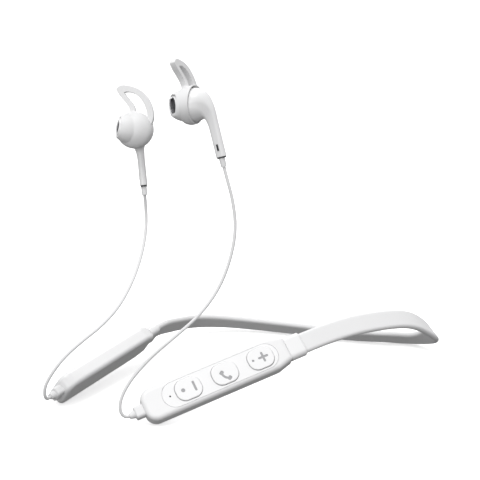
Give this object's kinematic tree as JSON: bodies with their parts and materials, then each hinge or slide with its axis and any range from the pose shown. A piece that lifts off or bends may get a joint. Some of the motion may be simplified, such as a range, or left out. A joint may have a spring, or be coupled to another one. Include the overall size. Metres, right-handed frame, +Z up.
{
  "type": "neckband earphones",
  "caption": "Wireless neckband earphones: flexible neck strap, key pod, battery pod and corded earbuds with silicone ear fins.",
  "frame": {"origin": "centre of the underside of the bounding box as the object lies on a table, measured without the two earbud cords", "axes": "+Z up, +Y from the pods towards the back of the neck, +X towards the wearer's left (the key pod's side)"},
  "size_m": [0.1187, 0.2099, 0.1588],
  "materials": {
    "white_plastic": "satin white moulded plastic",
    "key_plastic": "satin white moulded plastic, fine grain",
    "soft_silicone": "matte white silicone",
    "cord_jacket": "matte white elastomer",
    "spring_steel": "plain steel",
    "dark_mesh": "dark woven mesh",
    "circuit_board": "green solder mask",
    "dark_plastic": "matte black",
    "foil": "pouch foil",
    "film": "thin polymer film"
  },
  "bodies": {
    "control_arm": {"control_outer_shell": "white_plastic", "control_panel": "key_plastic", "control_inner_shell": "white_plastic", "switch_bodies": "dark_plastic", "main_board": "circuit_board", "bluetooth_module": "spring_steel", "power_chip": "dark_plastic", "microphone": "dark_plastic", "charging_socket": "spring_steel", "charging_tongue": "dark_plastic", "left_collar": "white_plastic", "left_cord_bushing": "soft_silicone", "left_strap": "soft_silicone", "left_memory_wire": "spring_steel", "left_strap_cable": "cord_jacket", "left_cord": "cord_jacket", "left_front_shell": "white_plastic", "left_grille_mesh": "dark_mesh", "left_grille_rim": "spring_steel", "left_driver": "spring_steel", "left_diaphragm": "film", "left_rear_shell": "white_plastic", "left_vent_mesh": "dark_mesh", "left_stem_ring": "dark_mesh", "left_strain_relief": "cord_jacket"},
    "battery_arm": {"battery_outer_shell": "white_plastic", "battery_inner_shell": "white_plastic", "battery_cell": "foil", "protection_board": "circuit_board", "right_collar": "white_plastic", "right_cord_bushing": "soft_silicone", "right_strap": "soft_silicone", "right_memory_wire": "spring_steel", "right_strap_cable": "cord_jacket", "right_cord": "cord_jacket", "right_front_shell": "white_plastic", "right_grille_mesh": "dark_mesh", "right_grille_rim": "spring_steel", "right_driver": "spring_steel", "right_diaphragm": "film", "right_rear_shell": "white_plastic", "right_vent_mesh": "dark_mesh", "right_stem_ring": "dark_mesh", "right_strain_relief": "cord_jacket"},
    "left_sleeve": {"left_ear_sleeve": "soft_silicone"},
    "right_sleeve": {"right_ear_sleeve": "soft_silicone"},
    "volume_down_key": {"volume_down_button": "key_plastic", "volume_down_plunger": "dark_plastic"},
    "call_key": {"call_button": "key_plastic", "call_plunger": "dark_plastic"},
    "volume_up_key": {"volume_up_button": "key_plastic", "volume_up_plunger": "dark_plastic"}
  },
  "joints": [
    {"name": "neck_flex", "type": "hinge", "parent": "control_arm", "child": "battery_arm", "pos_m": [0.01061, 0.08358, 0.00533], "axis": [-0.4913, 0.5255, -0.6946], "range_deg": [0, 25], "stiffness_Nm_per_rad": 0.55},
    {"name": "volume_down_press", "type": "slide", "parent": "control_arm", "child": "volume_down_key", "axis": [-0.6624, 0.3613, -0.6563], "range_m": [0, 0.00035], "stiffness_N_per_m": 4000, "springref_m": -0.00005},
    {"name": "call_press", "type": "slide", "parent": "control_arm", "child": "call_key", "axis": [-0.6624, 0.3613, -0.6563], "range_m": [0, 0.00035], "stiffness_N_per_m": 4000, "springref_m": -0.00005},
    {"name": "volume_up_press", "type": "slide", "parent": "control_arm", "child": "volume_up_key", "axis": [-0.6624, 0.3613, -0.6563], "range_m": [0, 0.00035], "stiffness_N_per_m": 4000, "springref_m": -0.00005},
    {"name": "left_sleeve_pull", "type": "slide", "parent": "control_arm", "child": "left_sleeve", "axis": [-0.824, -0.4854, -0.2924], "range_m": [0, 0.014]},
    {"name": "right_sleeve_pull", "type": "slide", "parent": "battery_arm", "child": "right_sleeve", "axis": [0.7041, -0.6612, 0.2588], "range_m": [0, 0.014]}
  ]
}
